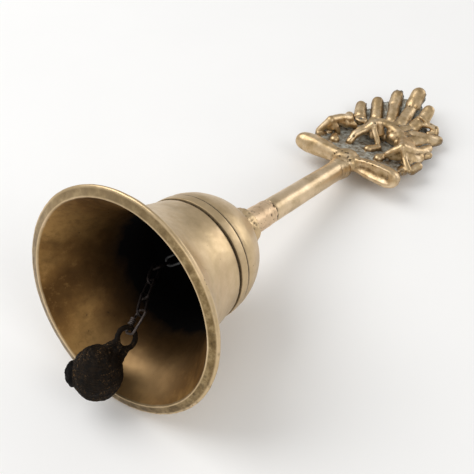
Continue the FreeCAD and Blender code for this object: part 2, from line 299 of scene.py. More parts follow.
# ---- material helpers
class Surface:
    """A node material whose textures are placed in the bell's own frame, in millimetres."""

    def __init__(self, name):
        self.material = bpy.data.materials.new(name)
        self.material.use_nodes = True
        self.tree = self.material.node_tree
        self.shader = self.tree.nodes["Principled BSDF"]
        in_mm = self.fill(self.node("ShaderNodeVectorMath", operation="SCALE"), Scale=1 / MM)
        self.feed(in_mm.inputs[0], self.node("ShaderNodeTexCoord").outputs["Object"])
        turned = self.fill(self.node("ShaderNodeMapping"), Vector=in_mm.outputs["Vector"],
                           Rotation=LAY_BACK.to_euler("XYZ"), Location=LAY_BACK.translation / MM)
        self.mm = turned.outputs["Vector"]

    def node(self, kind, **settings):
        made = self.tree.nodes.new(kind)
        for key, value in settings.items():
            setattr(made, key, value)
        return made

    def feed(self, socket, value):
        if isinstance(value, bpy.types.NodeSocket):
            self.tree.links.new(value, socket)
        else:
            socket.default_value = value

    def fill(self, made, **values):
        # feeds inputs by name; an underscore stands for the space in an input's own name
        for key, value in values.items():
            self.feed(made.inputs[key.replace("_", " ")], value)
        return made

    def math(self, operation, a, b):
        made = self.node("ShaderNodeMath", operation=operation)
        for socket, value in zip(made.inputs, (a, b)):
            self.feed(socket, value)
        return made.outputs[0]

    def plus(self, value, mask, share):
        return self.math("ADD", value, self.math("MULTIPLY", mask, share))

    def less(self, mask, share):
        # 1 where the mask is 0, falling by the share where it is 1
        return self.math("SUBTRACT", 1.0, self.math("MULTIPLY", mask, share))

    def stretch(self, scale, turn=(0, 0, 0)):
        made = self.fill(self.node("ShaderNodeMapping"), Vector=self.mm, Scale=scale, Rotation=turn)
        return made.outputs["Vector"]

    def noise(self, scale, detail, rough=0.55, vector=None, distortion=0.0):
        made = self.fill(self.node("ShaderNodeTexNoise"), Vector=vector or self.mm, Scale=scale,
                         Detail=detail, Roughness=rough, Distortion=distortion)
        return made.outputs["Fac"]

    def pits(self, scale, size):
        # 1 in the middle of a pit, 0 between them
        made = self.fill(self.node("ShaderNodeTexVoronoi"), Vector=self.mm, Scale=scale)
        return self.remap(made.outputs["Distance"], size, size * 0.45, 0, 1)

    def remap(self, value, low, high, to_low=0.0, to_high=1.0):
        made = self.fill(self.node("ShaderNodeMapRange"), Value=value, From_Min=low, From_Max=high,
                         To_Min=to_low, To_Max=to_high)
        return made.outputs["Result"]

    def mask(self, name):
        return self.node("ShaderNodeAttribute", attribute_name=name).outputs["Fac"]

    def mix(self, share, a, b):
        made = self.node("ShaderNodeMix", data_type="RGBA")
        self.feed(made.inputs[0], share)
        self.feed(made.inputs[6], a if isinstance(a, bpy.types.NodeSocket) else (*a, 1.0))
        self.feed(made.inputs[7], b if isinstance(b, bpy.types.NodeSocket) else (*b, 1.0))
        return made.outputs[2]

    def ramp(self, value, stops):
        made = self.fill(self.node("ShaderNodeValToRGB"), Fac=value)
        elements = made.color_ramp.elements
        while len(elements) < len(stops):
            elements.new(0.5)
        for element, (place, colour) in zip(elements, stops):
            element.position = place
            element.color = (*colour, 1.0)
        return made.outputs["Color"]

    def bump(self, height, strength, distance, before=None):
        made = self.fill(self.node("ShaderNodeBump"), Height=height, Strength=strength,
                         Distance=distance * MM)
        if before is not None:
            self.fill(made, Normal=before)
        return made.outputs["Normal"]

    def finish(self, colour, roughness, normal, metallic=1.0):
        self.fill(self.shader, Base_Color=colour, Roughness=roughness, Normal=normal, Metallic=metallic)
        return self.material


BRASS_LIGHT = (0.68, 0.51, 0.305)
BRASS_MID = (0.58, 0.42, 0.235)
BRASS_DULL = (0.40, 0.28, 0.145)
GRIME_AND_SHADE = (0.022, 0.014, 0.008)
DULL_SPECULAR = 0.12


def brass(name, pit_scale, light=BRASS_LIGHT, mid=BRASS_MID, dull=BRASS_DULL, pit_size=0.12,
          rough=(0.30, 0.46)):
    # worn cast brass: soft mottling, fine grain, scattered casting pits, and dark marks where its darkening
    # mask says
    s = Surface(name)
    mottle = s.noise(0.13, 5.0, 0.6)
    colour = s.ramp(mottle, [(0.30, dull), (0.48, mid), (0.68, light)])
    cloud = s.noise(0.9, 4.0, 0.65)
    colour = s.mix(s.remap(cloud, 0.55, 0.8, 0, 0.35), colour, dull)
    grain = s.noise(5.0, 3.0, 0.6)
    pits = s.math("MULTIPLY", s.pits(pit_scale, pit_size), s.remap(s.noise(0.08, 2.0), 0.45, 0.6))
    grime_and_shade = s.mask("grime_and_shade")
    speck = s.math("MULTIPLY", grime_and_shade, s.remap(s.noise(1.6, 4.0, 0.7), 0.25, 0.6, 0.55, 1.0))
    dirt_and_shade = s.math("MAXIMUM", speck, pits)
    colour = s.mix(dirt_and_shade, colour, GRIME_AND_SHADE)
    roughness = s.plus(s.remap(cloud, 0.3, 0.75, *rough), dirt_and_shade, 0.35)
    normal = s.bump(grain, 0.10, 0.12)
    normal = s.bump(mottle, 0.35, 0.25, normal)
    normal = s.bump(s.math("SUBTRACT", 1.0, pits), 0.8, 0.12, normal)
    return s.finish(colour, roughness, normal, s.less(dirt_and_shade, 0.8))


def shell_brass():
    # outside worn and stained; the bevel darker; inside browner, and darkened to black towards the crown,
    # partly sooty and partly painted shade
    s = Surface("shell_brass")
    mottle = s.noise(0.10, 5.0, 0.6)
    outer = s.ramp(mottle, [(0.30, (0.47, 0.345, 0.19)), (0.50, (0.59, 0.44, 0.255)),
                            (0.70, (0.69, 0.53, 0.33))])
    blush = s.noise(0.055, 2.0)
    outer = s.mix(s.remap(blush, 0.55, 0.75, 0, 0.35), outer, (0.56, 0.385, 0.25))
    grain = s.noise(4.0, 4.0, 0.65)
    outer = s.mix(s.remap(grain, 0.6, 0.8, 0, 0.25), outer, BRASS_DULL)
    stain = s.math("MULTIPLY", s.remap(s.noise(0.9, 5.0, 0.75), 0.60, 0.70),
                   s.remap(s.noise(0.11, 2.0), 0.48, 0.60))
    outer = s.mix(s.math("MULTIPLY", stain, 0.45), outer, (0.30, 0.185, 0.085))
    bevel_tone = s.ramp(s.noise(0.3, 6.0, 0.7), [(0.36, (0.135, 0.088, 0.038)),
                                                 (0.50, (0.22, 0.150, 0.069)), (0.64, (0.35, 0.255, 0.13))])
    # the bevel tone, thinner on the upper side as painted light
    outer = s.mix(s.mask("bevel"), outer, bevel_tone)
    patches = s.noise(0.045, 3.0, 0.5, distortion=0.4)
    inner = s.ramp(patches, [(0.34, (0.105, 0.050, 0.014)), (0.50, (0.205, 0.105, 0.031)),
                             (0.66, (0.36, 0.205, 0.067))])
    streaks = s.noise(1.0, 5.0, 0.65, s.stretch((0.10, 0.42, 0.42)))
    inner = s.mix(s.remap(streaks, 0.50, 0.72, 0, 0.45), inner, (0.15, 0.078, 0.024))
    smudge = s.noise(0.28, 6.0, 0.7)
    inner = s.mix(s.remap(smudge, 0.50, 0.66, 0, 0.40), inner, (0.09, 0.045, 0.015))
    inner = s.mix(s.remap(smudge, 0.46, 0.34, 0, 0.30), inner, (0.46, 0.26, 0.09))
    # painted highlight on the -z side of the inner flare, where light falls
    inner = s.mix(s.math("MULTIPLY", s.mask("painted_highlight"), 0.85), inner, (0.62, 0.40, 0.185))
    # painted shade: the inside darkens with depth towards the crown and turns black deep in, partly sooty
    depth = s.math("ADD", s.mask("depth"), s.remap(s.noise(0.09, 3.0), 0.3, 0.7, -0.045, 0.045))
    inner = s.mix(s.remap(depth, 0.04, 0.34, 0, 0.92), inner, (0.05, 0.026, 0.010))
    soot_and_shade = s.remap(depth, 0.33, 0.44)
    inner = s.mix(soot_and_shade, inner, (0.0015, 0.0012, 0.001))
    inside = s.mask("inside")
    colour = s.mix(inside, outer, inner)
    pits = s.math("MULTIPLY", s.pits(0.42, 0.10), s.remap(s.noise(0.07, 2.0), 0.5, 0.62))
    # this mask holds painted shade in the two grooves as well as dirty nicks on the rim
    grime_and_shade = s.mask("grime_and_shade")
    speck = s.math("MULTIPLY", grime_and_shade, s.remap(s.noise(1.3, 4.0, 0.7), 0.25, 0.6, 0.7, 1.0))
    dirt_and_shade = s.math("MAXIMUM", speck, pits)
    colour = s.mix(dirt_and_shade, colour, GRIME_AND_SHADE)
    s.shader.inputs["Specular IOR Level"].default_value = DULL_SPECULAR
    matte = s.math("MAXIMUM", dirt_and_shade, s.math("MULTIPLY", soot_and_shade, inside))
    roughness = s.remap(s.noise(0.5, 5.0, 0.65), 0.3, 0.75, 0.31, 0.45)
    roughness = s.plus(s.plus(roughness, inside, 0.07), matte, 0.45)
    rings = s.noise(2.6, 3.0, 0.7, s.stretch((1.0, 0.02, 0.02)))
    normal = s.bump(grain, 0.08, 0.12)
    normal = s.bump(rings, 0.10, 0.12, normal)
    normal = s.bump(mottle, 0.35, 0.3, normal)
    normal = s.bump(s.math("SUBTRACT", 1.0, pits), 0.8, 0.15, normal)
    metallic = s.math("MULTIPLY", s.less(matte, 0.9), s.less(inside, 0.35))
    return s.finish(colour, roughness, normal, metallic)


def finial_brass():
    # gold on the high parts, brown half way down, grey-green patina on the floor, and painted shade near
    # black in the deepest folds and the notches
    s = Surface("finial_brass_skin")
    cavity = s.mask("cavity")
    mottle = s.noise(0.22, 5.0, 0.6)
    gold = s.ramp(mottle, [(0.32, (0.41, 0.28, 0.135)), (0.50, (0.59, 0.43, 0.245)),
                           (0.68, (0.78, 0.61, 0.40))])
    edge = s.math("ADD", cavity, s.remap(s.noise(0.9, 5.0, 0.7), 0.3, 0.7, -0.18, 0.18))
    brown = s.mix(s.remap(edge, 0.06, 0.44, 0, 0.88), gold, (0.18, 0.11, 0.048))
    patina_tone = s.ramp(s.noise(0.5, 5.0, 0.7), [(0.37, (0.14, 0.132, 0.11)), (0.49, (0.50, 0.54, 0.50)),
                                                  (0.61, (0.80, 0.87, 0.83))])
    sunk = s.math("MAXIMUM", s.remap(edge, 0.50, 0.80, 0, 0.8), s.mask("floor"))
    colour = s.mix(sunk, brown, patina_tone)
    # painted shade: the deepest folds and, ragged, the notches between the flames are painted near black
    black = s.math("MULTIPLY", s.remap(edge, 0.62, 0.92, 0, 0.9),
                   s.remap(s.mask("floor"), 0, 0.9, 1.0, 0.25))
    ragged = s.math("MULTIPLY", s.mask("notch"), s.remap(s.noise(0.8, 4.0, 0.7), 0.36, 0.60))
    black = s.math("MAXIMUM", black, ragged)
    colour = s.mix(black, colour, (0.02, 0.016, 0.012))
    pits = s.math("MULTIPLY", s.pits(0.8, 0.13), s.remap(s.noise(0.15, 2.0), 0.5, 0.62))
    colour = s.mix(s.math("MAXIMUM", pits, s.mask("grime_and_shade")), colour, GRIME_AND_SHADE)
    matte = s.math("MAXIMUM", sunk, s.math("MAXIMUM", pits, black))
    roughness = s.plus(s.remap(s.noise(1.2, 4.0), 0.3, 0.7, 0.33, 0.46), matte, 0.40)
    normal = s.bump(s.noise(3.0, 4.0, 0.65), 0.10, 0.12)
    normal = s.bump(mottle, 0.3, 0.25, normal)
    normal = s.bump(s.math("SUBTRACT", 1.0, pits), 0.8, 0.15, normal)
    return s.finish(colour, roughness, normal, s.less(matte, 0.85))


def rusted_iron(name, dark, brown, flake, shine, striped=False):
    # shine is the least and the greatest roughness, then the metallic share; striped adds forged creases
    s = Surface(name)
    base = s.noise(0.6, 6.0, 0.7)
    colour = s.ramp(base, [(0.35, dark), (0.55, brown), (0.75, dark)])
    least = 0.565 if striped else 0.60
    flakes = s.remap(s.noise(1.7, 5.0, 0.75), least, least + 0.08)
    flakes = s.math("MULTIPLY", flakes, s.remap(s.noise(0.25, 2.0), 0.45, 0.6))
    colour = s.mix(flakes, colour, flake)
    normal = s.bump(s.noise(2.5, 5.0, 0.7), 0.6, 0.25)
    if striped:
        stripes = s.noise(1.0, 4.0, 0.6, s.stretch((0.35, 0.35, 4.2)))
        colour = s.mix(s.remap(stripes, 0.45, 0.62, 0, 0.7), colour, dark)
        scratches = s.noise(1.0, 3.0, 0.7, s.stretch((0.5, 0.25, 7.0), (0.9, 0.3, 0.2)))
        colour = s.mix(s.remap(scratches, 0.66, 0.74, 0, 0.5), colour, flake)
        normal = s.bump(stripes, 0.8, 0.4, normal)
        s.shader.inputs["Specular IOR Level"].default_value = DULL_SPECULAR
        # painted shade: the small side lobe of the ball is painted near black
        colour = s.mix(s.mask("lobe"), colour, (0.002, 0.0015, 0.0012))
    smooth, rough, metallic = shine
    return s.finish(colour, s.remap(base, 0.3, 0.7, smooth, rough), normal, metallic)


SHELL = shell_brass()
BOSS = brass("boss_brass_skin", 0.7)
SLEEVE = brass("joint_bronze_skin", 0.75, (0.83, 0.63, 0.42), (0.74, 0.545, 0.35), (0.58, 0.41, 0.255),
               pit_size=0.20, rough=(0.36, 0.5))
SHANK = brass("handle_brass_skin", 0.4, (0.80, 0.63, 0.43), (0.69, 0.53, 0.335), (0.47, 0.35, 0.205))
FINIAL = finial_brass()
WORN_WIRE = rusted_iron("link_wire_worn", (0.045, 0.037, 0.035), (0.12, 0.10, 0.092),
                        (0.26, 0.235, 0.22), (0.26, 0.45, 0.85))
WIRE = rusted_iron("chain_wire", (0.010, 0.008, 0.008), (0.032, 0.024, 0.022),
                   (0.13, 0.115, 0.105), (0.34, 0.55, 0.7))
BRIGHT_WIRE = rusted_iron("worn_wire", (0.05, 0.05, 0.05), (0.15, 0.15, 0.15),
                          (0.34, 0.34, 0.34), (0.30, 0.5, 0.85))
CLAPPER = rusted_iron("clapper_rust", (0.0022, 0.0016, 0.0011), (0.015, 0.009, 0.0045),
                      (0.24, 0.135, 0.055), (0.6, 0.85, 0.0), striped=True)


# ---- bell shell
TENON_BORE = 3.42
GRID_STEP = 0.6
LIP_RADIUS = 38.0
CROWN_X = 60.2
CEILING_X = 58.0
THICK_GROOVE_X = 34.0
THIN_GROOVE_X = 38.14
SHELL_SEGMENTS = 288


def shell():
    flare = catmull([(3.3, 36.7), (4.6, 34.8), (7.0, 32.1), (10.0, 29.7), (14.0, 27.2), (19.0, 25.0),
                     (25.0, 23.2), (30.0, 22.2), (33.4, 21.65)], GRID_STEP)
    dome = catmull([(38.4, 21.55), (41.0, 21.4), (45.0, 20.2), (50.0, 17.5), (55.0, 13.2), (58.6, 9.2),
                    (CROWN_X, 7.5)], GRID_STEP)
    inside = catmull([(CEILING_X, 6.4), (55.0, 10.4), (50.0, 14.9), (45.0, 17.6), (40.0, 18.9),
                      (33.0, 19.4), (28.0, 20.3), (22.0, 22.0), (17.0, 23.9), (12.0, 26.2), (8.0, 28.6),
                      (5.0, 30.8), (2.0, 33.0), (0.25, 34.40)], GRID_STEP)
    lip = chamfer([(0.0, 34.64), (0.12, 35.0), (0.45, 36.2), (0.85, 37.4), (1.15, 37.9), (1.7, LIP_RADIUS),
                   (2.5, 37.6), (3.3, 36.7)])
    grooves = chamfer([(33.4, 21.62), (33.5, 21.5), (33.6, 20.9), (33.75, 20.75), (34.3, 20.72),
                       (34.42, 20.85), (34.5, 21.7), (34.65, 21.86), (35.6, 21.9), (37.3, 21.86),
                       (37.84, 21.8), (37.92, 21.7), (37.96, 21.25), (38.04, 21.15), (38.24, 21.15),
                       (38.32, 21.25), (38.36, 21.5), (38.42, 21.56)])
    crown = catmull([(CROWN_X, 7.5), (CROWN_X, TENON_BORE)], GRID_STEP)
    ceiling = catmull([(CEILING_X, TENON_BORE), (CEILING_X, 6.4)], GRID_STEP)
    outside = [lip[:-1], flare[:-1], grooves[:-1], dome[:-1], crown]
    profile = np.vstack(outside + [ceiling[:-1], inside])
    x, radius, angle, faces = lathe(profile, SHELL_SEGMENTS)
    row = np.repeat(np.arange(len(profile)), SHELL_SEGMENTS)
    is_inside = row >= sum(len(stretch) for stretch in outside)
    points = ring_points(x, radius, angle)
    wobble = noise_at(points, 0.05, 1.0, 2) * 0.16
    ripple = noise_at(points, 0.33, 2.0, 3) * 0.05
    rim_wear = np.exp(-((x - 0.8) / 1.4) ** 2) * np.minimum(0, noise_at(points, 0.42, 5.0, 4)) * 0.12
    # the crown is left true, where the collar and the tenon fit it
    crown_fade = np.clip((59.8 - x) / 4, 0, 1)
    radius = radius + (wobble + ripple + rim_wear) * crown_fade
    points = ring_points(x - rim_wear * 0.6 * (x < 3), radius, angle)
    # painted shade in both grooves, darkening round the collar, and dirty nicks along the lower part of the
    # rim
    grime_and_shade = 1.5 * np.exp(-((x - THICK_GROOVE_X) / 0.52) ** 4)
    grime_and_shade = grime_and_shade + 1.5 * np.exp(-((x - THIN_GROOVE_X) / 0.26) ** 4)
    grime_and_shade = grime_and_shade + 0.8 * np.exp(-((x - CROWN_X) / 0.35) ** 2)
    nicked = noise_at(points, 0.75, 15.0, 4) * np.clip(0.5 - np.sin(angle + 0.5), 0, 1)
    grime_and_shade = grime_and_shade + np.clip((nicked - 0.30) * 2.2, 0, 0.38) * (x < 2.6) * (radius > 35)
    grime_and_shade = np.where(is_inside, 0, np.clip(grime_and_shade, 0, 1))
    depth = np.where(is_inside, np.clip(x / CEILING_X, 0, 1), 0)
    inside_mask = np.where(is_inside, np.clip((x - 0.15) / 0.5, 0, 1), 0)
    # the bevel is dark between its edges, and painted lighter on its upper side, where light falls
    between_edges = np.clip((radius - 34.8) / 0.25, 0, 1) * np.clip((37.45 - radius) / 0.4, 0, 1)
    upper_side_light = 1 - 0.35 * np.clip(np.cos(angle - 1.1), 0, 1) ** 2
    bevel = np.where(~is_inside & (x < 1.1), between_edges * upper_side_light, 0)
    # a painted highlight: the -z side of the inner flare is painted brighter, where light falls on it
    painted_highlight = is_inside * np.clip(np.cos(angle + 1.85), 0, 1) ** 6 * np.exp(-((x - 9.0) / 7.0) ** 2)
    make_object("shell_cast", points, faces, SHELL, "bell", "bell_shell",
                {"painted_highlight": painted_highlight, "grime_and_shade": grime_and_shade, "depth": depth, "inside": inside_mask,
                 "bevel": bevel})


# ---- handle
def dense(profile, step):
    out = []
    for a, b in zip(profile, profile[1:]):
        pieces = max(1, int(np.linalg.norm(b - a) / step))
        out += [a + (b - a) * k / pieces for k in range(pieces)]
    out.append(profile[-1])
    return np.array(out)


def pocks(x, radius, angle, seed, groups):
    # casting pits; each group is (number, low x, high x, smallest, largest)
    draw = np.random.default_rng(seed)
    dent, dark = np.zeros(len(x)), np.zeros(len(x))
    for number, low, high, small, large in groups:
        for _ in range(number):
            place = draw.uniform(low, high)
            turn = draw.uniform(0, 2 * math.pi)
            size = draw.uniform(small, large)
            stretch = draw.uniform(0.7, 1.6)
            around = (angle - turn + math.pi) % (2 * math.pi) - math.pi
            gap = ((x - place) ** 2 + (radius * around / stretch) ** 2) / size ** 2
            dent -= size * 0.9 * np.exp(-gap)
            dark = np.maximum(dark, np.exp(-gap ** 2))
    return np.maximum(dent, -0.55), dark


def turned_piece(name, profile, material, node, seed, wobble, grime_at, facets=0.0, pits=()):
    # grime_at holds (x, width, amount); facets is the height of the flats a file has left
    profile = dense(profile, 0.28 if pits else 1.2)
    x, radius, angle, faces = lathe(profile, 128)
    points = ring_points(x, radius, angle)
    outside = (radius > profile[:, 1].min() + 0.3).astype(float)
    uneven = noise_at(points, 0.22, seed, 3) * wobble + noise_at(points, 0.9, seed + 3, 2) * wobble * 0.35
    if facets:
        uneven = uneven + facets * (np.cos(angle * 5 + 0.02 * x) * 0.6 + np.cos(angle * 3 + 1.3))
    dent, dark = pocks(x, radius, angle, int(seed), pits)
    grime_and_shade = np.zeros(len(x))
    for place, width, amount in grime_at:
        grime_and_shade = np.maximum(grime_and_shade, amount * np.exp(-((x - place) / width) ** 2))
    grime_and_shade = grime_and_shade * np.clip(0.6 + noise_at(points, 0.6, seed + 9, 3) * 1.6, 0, 1)
    radius = radius + (uneven + dent - 0.25 * grime_and_shade) * outside
    make_object(name, ring_points(x, radius, angle), faces, material, "bell", node,
                {"grime_and_shade": np.clip(np.maximum(grime_and_shade, dark * 0.95), 0, 1)})


def handle():
    bore = TENON_BORE
    collar = np.vstack([chamfer([(60.24, 6.9), (60.35, 7.25), (60.8, 7.4), (63.0, 7.35), (65.1, 7.4),
                                 (65.7, 7.05), (65.88, 6.5)]), [(65.88, bore), (60.24, bore)]])
    turned_piece("boss_collar", collar, BOSS, "crown_boss", 3.0, 0.42,
                 [(60.35, 0.3, 1.0)], pits=[(40, 61.5, 65.6, 0.14, 0.42)])
    sleeve = np.vstack([chamfer([(65.92, 4.8), (66.1, 5.05), (67.5, 5.0), (69.2, 4.9), (73.0, 4.78),
                                 (77.0, 4.7), (80.0, 4.62), (80.4, 4.55), (80.6, 4.35)]),
                        [(80.6, bore), (65.92, bore)]])
    turned_piece("joint_cast_on", sleeve, SLEEVE, "joint_sleeve", 5.0, 0.12,
                 [(80.55, 0.35, 1.3), (66.0, 0.6, 0.8), (78.4, 0.15, 0.5)],
                 pits=[(16, 67.0, 72.0, 0.14, 0.34), (18, 76.5, 80.4, 0.16, 0.5),
                       (12, 69.0, 77.0, 0.1, 0.24)])
    # a tenon runs back from the shank through sleeve and collar, and is peened over inside the crown
    shank = np.vstack([chamfer([(80.62, 4.25), (80.75, 4.45), (81.1, 4.5)]),
                       catmull([(81.4, 4.5), (92.0, 4.4), (105.0, 4.27), (118.0, 4.15), (131.9, 4.05)],
                               1.0),
                       [(132.0, 2.0), (137.4, 2.0), (137.5, 0.05), (56.4, 0.05), (56.38, 3.6), (56.9, 4.4),
                        (57.98, 4.7), (57.98, 3.4), (80.62, 3.4)]])
    turned_piece("shank_rod", shank, SHANK, "handle_shank", 7.0, 0.05,
                 [(80.7, 0.3, 1.0), (131.0, 1.2, 0.35), (57.0, 1.3, 1.7)], 0.07)
    low, top = 4.12, 4.07
    bead = np.vstack([catmull([(127.4, low + 0.02), (128.3, low + 0.12), (130.0, 4.45), (131.6, 4.75),
                               (133.2, 4.8), (134.8, 4.3), (135.9, 2.9)], 0.3),
                      [(135.9, 2.02), (132.02, 2.02), (132.02, top), (127.4, low)]])
    turned_piece("braze_bead", bead, SHANK, "junction_bead", 11.0, 0.16,
                 [(130.6, 0.2, 0.3)], pits=[(14, 128.6, 133.6, 0.12, 0.36)])


# ---- finial
FINIAL_VOXEL = 0.30
SEAT_X = 132.4
SEAT_RADIUS = 4.6
SHEET_X = [136.6, 150, 162, 172.5, 181.7, 186.5, 191.5, 196.5]
SHEET_Z = [0.2, 0.7, 0.9, 2.2, 6.8, 10.6, 15.2, 21.0]


def sheet_height(x):
    # the middle of the plate, which curls up towards the flames
    return float(np.interp(x, SHEET_X, SHEET_Z))


def sheet_slope(x):
    return (sheet_height(x + 1) - sheet_height(x - 1)) / 2


ROUND_LOBE = [(3.9, 2.2), (2.2, 3.5), (-0.4, 4.3), (-2.6, 4.2), (-4.0, 2.6), (-4.6, 0.0), (-3.9, -2.6),
              (-0.8, -4.2), (2.4, -3.4), (4.1, -1.0)]
SPOONED_LOBE = [(3.9, 2.2), (2.2, 3.5), (-0.6, 4.2), (-2.8, 4.4), (-2.7, 2.6), (-2.4, 0.2), (-4.7, -2.1),
                (-1.6, -4.3), (2.4, -3.6), (4.1, -1.0)]


def crossbar_lobe(side):
    # long lobes pinched at the shank; the one on the -y side is scooped out along its front
    # stations are (distance along the bar, scale of the section, x)
    stations = catmull([(-2.0, 0.84, 136.6), (2.0, 0.78, 136.6), (6.0, 0.78, 136.8), (11.0, 0.92, 137.0),
                        (16.0, 1.0, 137.0), (20.0, 0.97, 136.9), (22.6, 0.78, 136.7),
                        (24.1, 0.40, 136.5)], GRID_STEP)
    plain, spooned = np.array(ROUND_LOBE, float), np.array(SPOONED_LOBE, float)
    rings = []
    for y, scale, x in stations:
        scoop = float(np.interp(y, [4.0, 8.0, 20.0, 23.0], [0.0, 1.0, 1.0, 0.0])) if side < 0 else 0.0
        section = plain * (1 - scoop) + spooned * scoop
        section = chamfer(np.vstack([section, section[:1]]))[:-1]
        rings.append([(x + a * scale, side * y, 2.2 + b * scale) for a, b in section])
    return np.vstack(rings), capped_faces(len(rings), len(rings[0]))


def ball(centre, x_half, y_half, z_half):
    return ellipsoid(np.asarray(centre, float), [vec(x_half, 0, 0), vec(0, y_half, 0), vec(0, 0, z_half)])


def chain_of(points, radii, flat=0.9):
    # a jointed limb through the points
    return [capsule(a, b, ra, rb, flat) for a, b, ra, rb in zip(points, points[1:], radii, radii[1:])]


def web(first, second, radius):
    # cloth hung between two paths of the same number of points
    parts = []
    first, second = np.array(first, float), np.array(second, float)
    for a, b, c, d in zip(first, first[1:], second, second[1:]):
        steps = max(2, int(max(np.linalg.norm(b - a), np.linalg.norm(d - c)) / (0.55 * radius)) + 1)
        for share in np.linspace(0, 1, steps):
            parts.append(capsule(a + (b - a) * share, c + (d - c) * share, radius, radius, sections=7))
    return parts


PLATE_X = [138, 146, 150, 163, 172, 179, 184, 189]
PLATE_HALF_WIDTH = [18.4, 19.6, 19.8, 19.2, 18.2, 15.6, 11.8, 5.5]
PLATE_HALF_THICKNESS = 1.45


def plate():
    # the curled sheet that runs out between the flames
    loops = []
    for x in np.arange(139.0, 189.1, 1.0):
        half = float(np.interp(x, PLATE_X, PLATE_HALF_WIDTH))
        across = half * np.sin(np.linspace(-math.pi / 2, math.pi / 2, 21))
        up = unit(vec(-sheet_slope(x), 0, 1)) * PLATE_HALF_THICKNESS
        rise = [np.clip((half - abs(y)) / 1.2, 0.02, 1) ** 0.5 for y in across]
        middle = vec(x, 0, sheet_height(x))
        top = [middle + vec(0, y, 0) + up * k for y, k in zip(across, rise)]
        low = [middle + vec(0, y, 0) - up * k for y, k in zip(across, rise)]
        loops.append(top + low[::-1])
    return np.vstack(loops), capped_faces(len(loops), len(loops[0]))


def wire_ring(centre, radius, wire, side=(1, 0, 0), up=(0, 1, 0)):
    side, up = np.asarray(side), np.asarray(up)
    turns = np.linspace(0, 2 * math.pi, 24, endpoint=False)
    path = [vec(*centre) + radius * (side * math.cos(t) + up * math.sin(t)) for t in turns]
    return tube(path, wire, closed=True, sides=10)


def bar_and_plate():
    parts = [crossbar_lobe(-1), crossbar_lobe(1), ball((136.4, 0, 1.9), 5.4, 6.4, 4.6),
             capsule((131.0, 0, 0.4), (138.0, 0, 1.6), 4.35, 4.5), plate()]
    for side in (-1, 1):
        parts.append(ball((150.0, side * 20.0, 1.6), 5.4, 2.6, 1.9))
        # tongue and curl at the side
        parts += chain_of([(152.5, side * 19.2, 2.5), (160.6, side * 20.5, 3.4)], [2.8, 2.7], 0.85)
        parts += chain_of([(164.0, side * 16.8, 3.2), (170.4, side * 19.2, 4.2)], [2.2, 2.1])
    return parts


# stout root lobes and rounded tip lobes, as (start, end, radius at the start, radius at the end)
FLAMES = [((172.7, -4.6, 8.2), (183.7, -2.7, 11.5), 2.85, 2.72),
          ((186.0, -2.4, 12.8), (190.8, -1.9, 16.6), 3.35, 3.32),
          ((174.9, 1.0, 7.4), (184.4, 5.1, 10.6), 2.75, 2.62),
          ((184.4, 5.1, 10.6), (188.7, 6.7, 13.2), 3.05, 2.87),
          ((176.1, 8.8, 5.4), (183.3, 13.1, 9.2), 2.95, 2.77),
          ((173.2, 15.3, 4.6), (178.8, 18.5, 6.6), 2.85, 2.62),
          ((175.1, -9.1, 7.6), (179.1, -10.3, 10.6), 3.15, 2.62),
          ((179.7, -11.2, 11.6), (183.4, -11.1, 14.4), 2.85, 2.62),
          ((170.1, -12.6, 6.0), (172.6, -17.1, 6.0), 3.75, 3.42),
          ((172.6, -17.1, 6.0), (177.2, -20.7, 6.0), 3.45, 2.32)]
# ridges that fan from the hood to the flames, as (start, end, radius)
RIDGES = [((166.0, 0.7, 9.2), (172.7, -4.6, 8.2), 2.4), ((166.3, -4.7, 8.4), (175.1, -9.1, 7.6), 2.7),
          ((164.8, -8.2, 8.0), (170.1, -12.6, 6.0), 3.0), ((166.0, 4.4, 5.6), (174.9, 1.0, 7.4), 2.4),
          ((164.0, 8.0, 4.4), (176.1, 8.8, 5.4), 2.2), ((161.4, -11.5, 7.6), (172.6, -17.1, 6.0), 3.2)]


def flames():
    parts = [capsule(start, end, r0, r1, 0.95) for start, end, r0, r1 in FLAMES]
    # the leaf that folds over on itself, and the open collar of its neighbour
    parts += chain_of([(172.6, -9.4, 6.4), (176.2, -9.8, 8.6), (177.7, -11.9, 10.2), (179.1, -14.8, 10.2),
                       (179.7, -17.6, 9.6), (179.1, -18.4, 8.0), (177.6, -15.8, 7.2)],
                      [2.6, 2.1, 1.7, 1.45, 1.4, 1.4, 1.5])
    collar_axis = unit(vec(5.3, -1.3, 3.6))
    collar_side = unit(np.cross(collar_axis, vec(0, 0, 1)))
    parts.append(wire_ring((178.7, -11.0, 11.0), 2.5, 0.6, collar_side, np.cross(collar_side, collar_axis)))
    # the raised ground that the flames grow out of
    parts += [ball((170.5, -8.0, 4.6), 9.0, 10.5, 3.3), ball((170.0, 1.0, 4.3), 7.0, 9.0, 2.7)]
    parts += [capsule(vec(*start) - vec(0, 0, 1.6), end, size, size, 0.8) for start, end, size in RIDGES]
    return parts


def far_figure():
    head, hip, tail = (151.0, 17.9, 8.6), (158.4, 16.9, 7.6), (163.0, 15.8, 6.4)
    elbow, knee = (149.4, 19.9, 5.6), (159.6, 14.6, 5.2)
    parts = chain_of([head, elbow, (148.2, 21.2, 3.0)], [2.0, 1.7, 1.5])
    parts += chain_of([head, (152.8, 15.8, 5.8), (153.9, 15.2, 3.2)], [1.7, 1.3, 1.5])
    parts += chain_of([head, hip, tail], [2.0, 2.2, 2.4])
    parts += chain_of([hip, knee], [2.0, 1.8])
    parts += web([head, hip, tail], [head, knee, (164.0, 12.6, 4.0)], 1.3)
    return parts + web([head, elbow], [head, (151.4, 16.6, 5.4)], 1.2)


